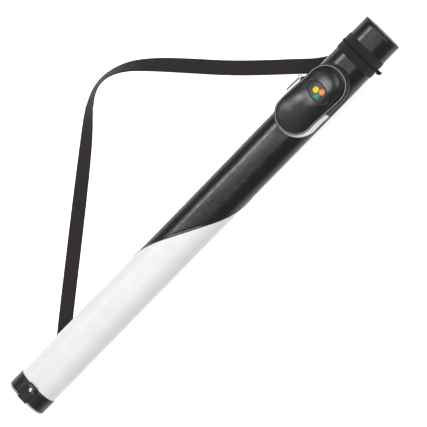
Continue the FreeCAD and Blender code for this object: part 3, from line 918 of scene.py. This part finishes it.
def ring_tube(points, radius, side):
    """Short tube through points that all lie in one plane, across the given side direction."""
    verts = []
    for i, p in enumerate(points):
        ahead = (points[min(i + 1, len(points) - 1)] - points[max(i - 1, 0)]).normalized()
        up = side.cross(ahead).normalized()
        verts += [p + side * (radius * c) + up * (radius * d) for c, d in circle(TOOTH_SIDES)]
    return verts, tube_faces(len(points), TOOTH_SIDES)


def ring_teeth(name, node, root_x, towards, body, shift):
    """One side's coil round the oval, on a woven cord whose lip joins it to the tape."""
    middle = (RADIUS + TEETH_RADIUS) / 2 + 0.0002

    def point_at(u):
        y, z, ny, nz = on_oval(u, middle)
        return Vector((root_x, y, z)), Vector((towards, 0, 0)), Vector((0, ny, nz))

    coil(name, point_at, -ZIP_REACH + shift, ZIP_REACH + shift - 0.001, 0.00042, 0.0019, body, node)
    lip = [(-0.0018, RADIUS + 0.00015), (0.0002, RADIUS + 0.0005), (0.0012, middle - 0.0004),
           (0.00145, middle - 0.0003), (0.00155, middle), (0.00145, middle + 0.0003),
           (0.0012, middle + 0.0004), (-0.0002, middle + 0.0003), (-0.0010, RADIUS + 0.0009),
           (-0.0018, RADIUS + 0.0007)]
    core = [(root_x + towards * x, radius) for x, radius in lip]
    oval_band(name + "_core", core, "tape", body, 240, ZIP_REACH, slot="zip_teeth")


def make_zip_ring():
    zip_tape("case_zip_tape", "zip_tape_body", TAPE_CASE, 1, "case")
    zip_tape("lid_zip_tape", "zip_tape_lid", TAPE_LID, -1, "lid")
    ring_teeth("case_teeth", "zip_teeth_body", TEETH_CASE[0].x + 0.0009, 1, "case", 0.0)
    ring_teeth("lid_teeth", "zip_teeth_lid", TEETH_LID[1].x - 0.0009, -1, "lid", COIL_PITCH / 2)


def make_hinge_fabric():
    """Cloth across the back of the split, from case to lid, with small slack folds in between."""
    rows = 61
    columns = 61
    run = HALF_GIRTH - HINGE_RUN + 0.0006
    thickness = 0.0005

    def at(i, j):
        t = i / (rows - 1)
        x = HINGE_LOW.x + (HINGE_HIGH.x - HINGE_LOW.x) * t
        slack = math.exp(-((t - 0.5) / 0.24) ** 4)
        w = -1 + 2 * j / (columns - 1)
        s = HALF_GIRTH + w * (HALF_GIRTH - run)
        s = s if s <= HALF_GIRTH else s - 2 * HALF_GIRTH
        shift = noise.noise(Vector((w * 2, t * 3, 5)))
        fold = 0.00045 * math.sin(t * math.tau * 3.0 + 1.4 * w + 2 * shift)
        y, z, ny, nz = on_oval(s, RADIUS + 0.0007 + slack * fold)
        return (x, y, z), (x, y - ny * thickness, z - nz * thickness), (x, w * (HALF_GIRTH - run))

    cloth = thick_grid("hinge_cloth", rows, columns, at, "gusset", None, ["hinge_gusset"], "webbing")
    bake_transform(cloth)


make_zip_ring()
make_hinge_fabric()


# ---- lid

TOP_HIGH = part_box("lid_top_plate")[1]


def make_lid():
    rows = 14

    def lid_x(i, s):
        return LID_LOW.x + (LID_HIGH.x - LID_LOW.x) * i / (rows - 1)

    skin_panel("lid_leather", "lid_skin", lid_x, rows, "black", "black_leatherette", body="lid")
    height = 0.0017
    end_cap("lid_cap", "lid_top_plate", TOP_HIGH.x - height, 1, height, "cap", "lid", "black_leatherette")
    oval_cord("lid_edge_piping", "lid_piping", "dark_piping", "lid", "black_leatherette", inset=0.0006)
    stitches("lid_edge_thread", oval_stitch_places(LID_HIGH.x - 0.0026, RADIUS), "lid", "black_leatherette")


make_lid()


# ---- pouch

POUCH_START = POUCH_LOW.x
POUCH_END = FLAP_HIGH.x
POUCH_HALF = POUCH_HIGH.y
POUCH_CORNER = 0.032
POUCH_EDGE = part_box("pouch_front_lower")[0].z
FOLD_X = FOLD[0]
GROOVE_EDGE = 0.0006
INSET_AT_LOW_END = 0.0018
INSET_AT_ZIP_END = 0.0046
PAD_HEIGHT = 0.0088
PAD_LOW_SHARE = 0.34
PAD_TILT = 0.16
SIDE_FLARE = 0.045
END_FLARE = 0.15
WALL_FOOT = 0.028
LEAN_LOW = 0.0022
LEAN_HIGH = -0.0012
STRAIGHT = POUCH_END - POUCH_START - 2 * POUCH_CORNER
SIDE_END = POUCH_HALF - POUCH_CORNER
QUARTER = math.pi / 2 * POUCH_CORNER
POUCH_GIRTH = 2 * STRAIGHT + 4 * SIDE_END + 4 * QUARTER
TO_FOLD = FOLD_X - POUCH_START - POUCH_CORNER
PAD_BASE = POUCH_EDGE + 0.0004
PAD_GATHER = 0.0004
PAD_UNEVEN = 0.00045
POUCH_THREAD = (0.0024, 0.00022)
POUCH_THREAD_PITCH = 0.0034


def on_pouch(u, inset=0.0):
    """Point and outward direction, as (x, y, nx, ny), at distance u round the pouch from its lower end."""
    u = u % POUCH_GIRTH
    side = 1
    if u > POUCH_GIRTH / 2:
        u = POUCH_GIRTH - u
        side = -1
    reach = POUCH_CORNER - inset

    def corner(middle, nx, ny):
        return middle + nx * reach, side * (SIDE_END + ny * reach), nx, side * ny

    if u <= SIDE_END:
        return POUCH_START + inset, side * u, -1.0, 0.0
    u -= SIDE_END
    if u <= QUARTER:
        a = u / POUCH_CORNER
        return corner(POUCH_START + POUCH_CORNER, -math.cos(a), math.sin(a))
    u -= QUARTER
    if u <= STRAIGHT:
        return POUCH_START + POUCH_CORNER + u, side * (POUCH_HALF - inset), 0.0, float(side)
    u -= STRAIGHT
    if u <= QUARTER:
        a = u / POUCH_CORNER
        return corner(POUCH_END - POUCH_CORNER, math.sin(a), math.cos(a))
    u -= QUARTER
    return POUCH_END - inset, side * (SIDE_END - u), 1.0, 0.0


def round_pouch(count):
    """Even distances round the pouch."""
    return [POUCH_GIRTH * i / count for i in range(count)]


FOLD_U = SIDE_END + QUARTER + TO_FOLD


def skin_top(y):
    """Height of the case's skin under the pouch."""
    across = max(0.0, abs(y) - HALF_FLAT)
    return AXIS_Z + math.sqrt(max(0.0, RADIUS ** 2 - across ** 2))


def smooth(t):
    """Rises gently from 0 to 1 as t goes from 0 to 1."""
    t = min(max(t, 0.0), 1.0)
    return t * t * (3 - 2 * t)


def flare(nx, z):
    """How far the pouch's wall stands out at a height: it spreads towards the case, most at the ends."""
    return (SIDE_FLARE + END_FLARE * nx * nx) * (POUCH_EDGE - z)


def lean(x, z):
    """Sideways slump of the soft pouch: its low half sits to +Y and its zipped half a little to -Y."""
    along = smooth((x - FOLD_X + 0.030) / 0.060)
    up = min(max((z - WALL_FOOT) / (POUCH_EDGE - WALL_FOOT), 0.0), 1.0)
    return (LEAN_LOW + (LEAN_HIGH - LEAN_LOW) * along) * up


def wall_place(u, z, outset):
    """Point on the pouch's wall, and the wall's outward direction there."""
    nx = on_pouch(u)[2]
    x, y, nx, ny = on_pouch(u, -outset - flare(nx, z))
    return Vector((x, y + lean(x, z), z)), Vector((nx, ny, 0))


def wall_foot(u):
    """Height at which the pouch's wall meets the case."""
    z = POUCH_EDGE
    for _ in range(4):
        place = wall_place(u, z, 0.0)[0]
        z = max(skin_top(place.y), WALL_FOOT)
    return z


def pad_inset(x):
    """Width of the dark groove between the pouch's edge and the pad: it widens towards the zipped end."""
    return INSET_AT_LOW_END + (INSET_AT_ZIP_END - INSET_AT_LOW_END) * smooth((x - FOLD_X) / 0.028)


def pad_height(x, y, t):
    """Height of the padded front over its edge, at a share t of the way out from the middle line.

    The pad is thin at its low end, and its zipped half is fullest on the -Y side."""
    t = min(abs(t), 1.0)
    full = PAD_HEIGHT * (PAD_LOW_SHARE + (1 - PAD_LOW_SHARE) * smooth((x - POUCH_START) / 0.075))
    tilt = PAD_TILT * smooth((x - FOLD_X + 0.020) / 0.040) * (1 - t ** 4)
    return full * (1 - t ** 3) ** 0.85 - tilt * y


def pad_middle(x):
    """Point of the pad's ridge line that a point of its edge is sewn towards."""
    return min(max(x, POUCH_START + POUCH_HALF), POUCH_END - POUCH_HALF)


def pad_z(x, y):
    """Height of the padded front at a point away from its edge."""
    y -= lean(x, POUCH_EDGE)
    reach = POUCH_HALF - pad_inset(x)
    return PAD_BASE + pad_height(x, y, math.hypot(x - pad_middle(x), y) / reach)


def make_pad():
    """The padded front, one piece from the lower end over the fold to the zipped end."""
    count = 320
    rings = 44
    verts = []
    stops = round_pouch(count)
    for u in stops:
        x, y, nx, ny = on_pouch(u, GROOVE_EDGE)
        verts.append((x, y + lean(x, POUCH_EDGE), PAD_BASE))
    for k in range(rings + 1):
        m = (k / rings) ** 1.25
        for u in stops:
            inset = pad_inset(on_pouch(u)[0])
            x0, y0, nx, ny = on_pouch(u, inset)
            x = x0 + (pad_middle(x0) - x0) * m
            y = y0 * (1 - m)
            depth = m * (POUCH_HALF - inset)
            gather = math.exp(-depth / 0.0032) * (1 - math.exp(-depth / 0.0006))
            pucker = noise.noise(Vector((u * 260, 0.5, depth * 60)))
            pucker += 0.5 * noise.noise(Vector((u * 520, 3, 0)))
            slow = noise.noise(Vector((x * 42, y * 42, 7.7)))
            rise = pad_height(x, y, 1 - m) + PAD_GATHER * gather * pucker
            rise += PAD_UNEVEN * slow * min(1, depth / 0.008)
            verts.append((x, y + lean(x, POUCH_EDGE), PAD_BASE + rise))
    faces = grid_faces(rings + 2, count, close_columns=True)
    back = len(verts)
    for k in range(9):
        m = k / 8
        for u in stops:
            x0, y0, nx, ny = on_pouch(u, GROOVE_EDGE)
            x = x0 + (pad_middle(x0) - x0) * m
            verts.append((x, y0 * (1 - m) + lean(x, POUCH_EDGE), POUCH_EDGE + 0.0001))
    faces += [tuple(reversed([i + back for i in f])) for f in grid_faces(9, count, close_columns=True)]
    faces += [(i, back + i, back + (i + 1) % count, (i + 1) % count) for i in range(count)]
    pad = piece("padded_front", verts, faces, "pad", replaces=["pouch_front_lower", "pouch_front_upper"],
                slot="black_leatherette")
    weld(pad)
    pad.data.materials.append(MATERIALS["lining"])
    for polygon in pad.data.polygons:
        if polygon.center.z < POUCH_EDGE + 0.0002:
            polygon.material_index = 1
    hinge_blend(pad)


def hinge_blend(made):
    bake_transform(made)


def edge_cord(name, inset, z, radius, material, replaces=(), slot=None, count=300):
    """Cord all round the pouch's front edge."""
    verts = []
    sides = 12
    for u in round_pouch(count):
        x, y, nx, ny = on_pouch(u, inset)
        y += lean(x, POUCH_EDGE)
        lift = 0.00010 * noise.noise(Vector((u * 120, 2.2, 0)))
        for c, d in circle(sides):
            out = radius * c + lift
            verts.append((x + nx * out, y + ny * out, z + lift + radius * d))
    made = piece(name, verts, tube_faces(count, sides, closed=True), material, replaces=replaces, slot=slot)
    hinge_blend(made)


def wall(name, first, last, bottom, top, outset, thickness, material, body, replaces=(), slot=None,
         bulge=0.0, lining=None, ripple=0.0):
    """Upright fabric wall along the pouch's outline. Without a bottom height it stands on the case."""
    step = 0.0015
    rows = max(2, int((last - first) / step))
    columns = 9

    def at(i, j):
        u = first + (last - first) * i / (rows - 1)
        low = wall_foot(u) - 0.0002 if bottom is None else bottom
        t = j / (columns - 1)
        z = low + (top - low) * t
        waves = ripple * noise.noise(Vector((u * 70, z * 90, outset * 900)))
        swell = bulge * math.sin(math.pi * t) + waves
        outer = wall_place(u, z, outset + swell)[0]
        inner = wall_place(u, z, outset + swell - thickness)[0]
        return tuple(outer), tuple(inner), (z, u)

    thick_grid(name, rows, columns, at, material, body, replaces, slot, lining)


ZIP_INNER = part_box("pouch_zip_tape_inner")
ZIP_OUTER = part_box("pouch_zip_tape_outer")
TOOTH_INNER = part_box("pouch_teeth_inner")
TOOTH_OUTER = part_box("pouch_teeth_outer")


def make_pouch_walls():
    start = FOLD_U + 0.0003
    end = POUCH_GIRTH - FOLD_U - 0.0003
    wall("white_gusset", -FOLD_U, FOLD_U, None, POUCH_EDGE, 0.0, 0.0016, "white", "case",
         ["pouch_gusset_lower"], "white_leatherette", bulge=0.0006, lining="lining", ripple=0.0004)
    wall("black_gusset", start, end, None, ZIP_INNER[0].z + 0.0006, 0.0, 0.0014, "gusset", "case",
         ["pouch_gusset_upper"], "webbing", lining="lining", ripple=0.0003)
    wall("inner_zip_tape", start, end, ZIP_INNER[0].z, ZIP_INNER[1].z, 0.0003, 0.0009, "tape", "case",
         ["pouch_zip_tape_inner"], "zip_tape", ripple=0.0001)
    wall("outer_zip_tape", start, end, ZIP_OUTER[0].z, ZIP_OUTER[1].z, 0.0003, 0.0009, "tape", "pouch_flap",
         ["pouch_zip_tape_outer"], "zip_tape", ripple=0.0001)
    wall("flap_gusset", start, end, ZIP_OUTER[1].z - 0.0006, POUCH_EDGE, 0.0, 0.0014, "gusset", "pouch_flap",
         ["pouch_flap_gusset"], "webbing", lining="lining", ripple=0.0002)
    for name, z, body in (("inner_tape_thread", ZIP_INNER[0].z + 0.0010, "case"),
                          ("outer_tape_thread", ZIP_OUTER[1].z - 0.0010, "pouch_flap")):
        stitches(name, pouch_stitch_places(start, end, z), body, "zip_tape", *POUCH_THREAD)
    for name, turn in (("fold_binding_left", 1), ("fold_binding_right", -1)):
        wall(name, turn * FOLD_U - 0.0012, turn * FOLD_U + 0.0012, None, POUCH_EDGE - 0.0002, 0.0005, 0.0012,
             "boot", "case", slot="black_leatherette", ripple=0.0001)


def pouch_stitch_places(first, last, z):
    """Places for a row of stitches along the pouch's wall at one height."""
    places = []
    for u in even_stops(first, last, int((last - first) / POUCH_THREAD_PITCH)):
        place, out = wall_place(u, z, 0.0004)
        places.append((place, Vector((out.y, -out.x, 0)), out))
    return places


def make_pouch_teeth():
    start = FOLD_U + 0.001
    end = POUCH_GIRTH - FOLD_U - 0.001
    rows = (
        ("inner_teeth", "pouch_teeth_inner", TOOTH_INNER[0].z + 0.0003, 1, "case", 0.0),
        ("outer_teeth", "pouch_teeth_outer", TOOTH_OUTER[1].z - 0.0003, -1, "pouch_flap", COIL_PITCH / 2),
    )
    for name, node, z, up, body, shift in rows:
        def point_at(u, z=z, up=up):
            place, out = wall_place(u, z, -0.0004)
            return place, Vector((0, 0, up)), out

        coil(name, point_at, start + shift, end + shift - 0.001, 0.00036, 0.0013, body, node)


def make_pouch_edges():
    edge_cord("front_piping", 0.0012, POUCH_EDGE + 0.0009, 0.00052, "piping",
              ["pouch_piping_lower", "pouch_piping_upper"], "grey_piping")
    edge_cord("front_edge_roll", 0.0001, POUCH_EDGE + 0.0003, 0.00085, "boot", slot="black_leatherette")
    points = []
    for u in round_pouch(260):
        foot = wall_foot(u)
        place, out = wall_place(u, foot, 0.0006)
        points.append(Vector((place.x, place.y, foot + 0.0003)))
    verts, faces = tube_along(points, 0.00075, 10)
    piece("base_edge_piping", verts, faces, "dark_piping", "case", replaces=["pouch_base_piping"],
          slot="grey_piping")


BADGE_MIDDLE = ((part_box("badge_border")[0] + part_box("badge_border")[1]) / 2).xy
BADGE_HALF_X = 0.0140
BADGE_HALF_Y = 0.0240
BADGE_TURN = math.radians(-9)
BADGE_SIDES = 96
BADGE_INNER = 0.93
BALL_RADIUS = 0.0052
BALL_RISE = 0.0011


def badge_point(share, angle):
    """Point of the badge's turned oval, as x and y."""
    along = BADGE_HALF_X * share * math.cos(angle)
    across = BADGE_HALF_Y * share * math.sin(angle)
    turn = Matrix.Rotation(BADGE_TURN, 2)
    return BADGE_MIDDLE + turn @ Vector((along, across))


def badge_ring(share, height):
    """Points round the badge's oval that lie over the pad by this height."""
    stops = [badge_point(share, math.tau * k / BADGE_SIDES) for k in range(BADGE_SIDES)]
    return [(x, y, pad_z(x, y) + height) for x, y in stops]


def make_badge():
    """Oval badge moulded to the pad, with a small rack of three plain balls as a generic mark."""
    levels = [(1.0, -0.0012), (1.0, 0.0006), (0.985, 0.00095), (0.96, 0.00105), (0.945, 0.0009),
              (0.935, 0.0006), (BADGE_INNER, 0.00045), (BADGE_INNER, -0.0012)]
    rim = []
    for share, height in levels:
        rim += badge_ring(share, height)
    faces = tube_faces(len(levels), BADGE_SIDES, closed=True)
    piece("badge_rim", rim, faces, "badge_rim", "pouch_flap", replaces=["badge_border"], slot="badge_rim")
    plate = []
    rings = 10
    for level in range(rings + 1):
        plate += badge_ring(BADGE_INNER * (1 - level / rings), 0.0005)
    plate += [(x, y, z - 0.0014) for x, y, z in plate[:BADGE_SIDES]]
    face = piece("badge_plate", plate, disc_faces(rings + 1, BADGE_SIDES), "badge", "pouch_flap",
                 replaces=["badge"], slot="badge_face")
    weld(face)
    for name, share, angle, material in (("yellow_ball", 0.17, math.pi / 2, "ball_yellow"),
                                         ("green_ball", 0.45, math.pi * 7 / 6, "ball_green"),
                                         ("orange_ball", 0.45, -math.pi / 6, "ball_orange")):
        x, y = badge_point(share, angle)
        badge_ball(name, x, y, material)


def badge_ball(name, x0, y0, material):
    """Low domed disc that stands on the badge."""
    sides = 48
    verts = []
    levels = 9
    for level in range(levels + 1):
        reach = BALL_RADIUS * math.cos(math.pi / 2 * level / levels)
        height = BALL_RISE * math.sin(math.pi / 2 * level / levels)
        for c, d in circle(sides):
            x = x0 + reach * c
            y = y0 + reach * d
            verts.append((x, y, pad_z(x, y) + 0.00055 + height))
    verts += [(x, y, z - 0.0006) for x, y, z in verts[:sides]]
    made = piece(name, verts, disc_faces(levels + 1, sides), material, "pouch_flap", slot="badge_face")
    weld(made)
    sharpen(made, 60)


make_pad()
make_pouch_walls()
make_pouch_teeth()
make_pouch_edges()
make_badge()


# ---- strap anchors under the case

ANCHOR_LENGTH = 0.0200
ANCHOR_HALF = 0.0140
ANCHOR_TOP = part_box("strap_anchor_top")[1].z


def under_case(y):
    """Height of the case's underside."""
    across = max(0.0, abs(y) - HALF_FLAT)
    if across >= RADIUS:
        return AXIS_Z
    return AXIS_Z - math.sqrt(RADIUS ** 2 - across ** 2)


def make_anchor(name, node, end, towards):
    """Leather tongue, sewn and riveted, that holds one end of the strap."""
    ahead = (Vector(towards) - Vector(end)).xy.normalized()
    across = Vector((-ahead.y, ahead.x))
    count = 25
    margin = 0.0022

    def spot(u, v):
        return Vector(end).xy + ahead * u + across * v

    def at(i, j):
        u = -ANCHOR_LENGTH * (1 - i / (count - 1))
        v = (-1 + 2 * j / (count - 1)) * ANCHOR_HALF
        place = spot(u, v)
        edge = min(ANCHOR_HALF - abs(v), u + ANCHOR_LENGTH, -u)
        lip = 0.0007 * (1 - min(1.0, edge / 0.0009)) ** 2
        groove = 0.0003 * math.exp(-((edge - margin) / 0.0005) ** 2)
        high = min(ANCHOR_TOP - lip - groove, under_case(place.y) - 0.0001)
        return (place.x, place.y, max(high, 0.0004)), (place.x, place.y, 0.0001), (u, v)

    thick_grid(name, count, count, at, "boot", "case", [node], "black_leatherette")
    places = []
    for v in (margin - ANCHOR_HALF, ANCHOR_HALF - margin):
        for i in range(5):
            place = spot(-0.003 - 0.0036 * i, v)
            if under_case(place.y) > ANCHOR_TOP + 0.0005:
                point = Vector((place.x, place.y, ANCHOR_TOP - 0.0002))
                places.append((point, ahead.to_3d(), Vector((0, 0, 1))))
    stitches(name + "_thread", places, "case", "webbing")


make_anchor("anchor_by_pouch", "strap_anchor_top", STRAP_ROUTE[0], STRAP_ROUTE[1])
make_anchor("anchor_by_boot", "strap_anchor_bottom", STRAP_ROUTE[-1], STRAP_ROUTE[-2])


# ---- finishes of the CAD nodes that show

CAD_FINISH = {
    "nickel": ["anchor_rivets"],
    "liner": ["butt_tube", "shaft_tube", "lid_butt_socket", "lid_shaft_socket"],
    "rim": ["butt_rim", "shaft_rim", "lid_butt_rim", "lid_shaft_rim"],
    "rubber": ["butt_end_pad", "shaft_end_pad", "lid_butt_pad", "lid_shaft_pad"],
    "foam": ["tube_filler", "lid_filler"],
    "felt": ["mouth_plate", "lid_face_plate"],
    "matte_metal": ["lid_slider", "lid_pull"],
    "blackened": ["pouch_slider", "pouch_pull_tab"],
    "gunmetal": ["pouch_pull_ring"],
}


def finish_cad_nodes():
    for material, nodes in CAD_FINISH.items():
        for node in nodes:
            slots = frame["nodes"][node].data.materials
            if not slots:
                slots.append(MATERIALS[material])
            for i in range(len(slots)):
                slots[i] = MATERIALS[material]


finish_cad_nodes()


# ---- studio

FLOOR_Z = -0.066
FLOOR_REACH = 6.0
FLOOR_GLOW = 0.40
WORLD_STRENGTH = 0.40
LAMPS = {
    "key": ((2.3, -0.2, 1.7), 1.2, 1.6, 35),
    "foot": ((-1.7, -0.4, 1.5), 1.0, 1.2, 27),
    "strip": ((0.40, 1.15, 2.38), 1.0, 0.92, 52),
}


def area_light(name, place, target, size_x, size_y, power):
    data = bpy.data.lights.new(name, "AREA")
    data.shape = "RECTANGLE"
    data.size = size_x
    data.size_y = size_y
    data.energy = power
    light = bpy.data.objects.new(name, data)
    LINK(light)
    place = Vector(place)
    direction = (Vector(target) - place).normalized()
    along = Vector((1, 0, 0)) - direction * direction.x
    along.normalize()
    across = (-direction).cross(along)
    turn = Matrix((along, across, -direction)).transposed().to_4x4()
    light.matrix_world = Matrix.Translation(place) @ turn


def make_studio():
    middle = ((CASE_START + CASE_END) / 2, 0, AXIS_Z)
    floor_mesh = bpy.data.meshes.new("floor")
    signs = ((-1, -1), (1, -1), (1, 1), (-1, 1))
    corners = [(FLOOR_REACH * i, FLOOR_REACH * j, FLOOR_Z) for i, j in signs]
    floor_mesh.from_pydata(corners, [], [(0, 1, 2, 3)])
    floor_mesh.materials.append(MATERIALS["floor"])
    floor = bpy.data.objects.new("floor", floor_mesh)
    LINK(floor)
    floor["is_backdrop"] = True
    for name, (place, size_x, size_y, power) in LAMPS.items():
        area_light(name, place, middle, size_x, size_y, power)
    world = bpy.data.worlds.new("studio")
    world.use_nodes = True
    background = world.node_tree.nodes["Background"]
    background.inputs["Color"].default_value = (1, 1, 1, 1)
    background.inputs["Strength"].default_value = WORLD_STRENGTH
    SCENE.world = world
    SCENE.view_settings.view_transform = "Standard"


floor_shader = MATERIALS["floor"].node_tree.nodes["Principled BSDF"]
floor_shader.inputs["Emission Color"].default_value = (1, 1, 1, 1)
floor_shader.inputs["Emission Strength"].default_value = FLOOR_GLOW
make_studio()


# ---- sizes

boxes = {"cad": cad_box, "scene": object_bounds()}
{name: [list(low), list(high)] for name, (low, high) in boxes.items()}
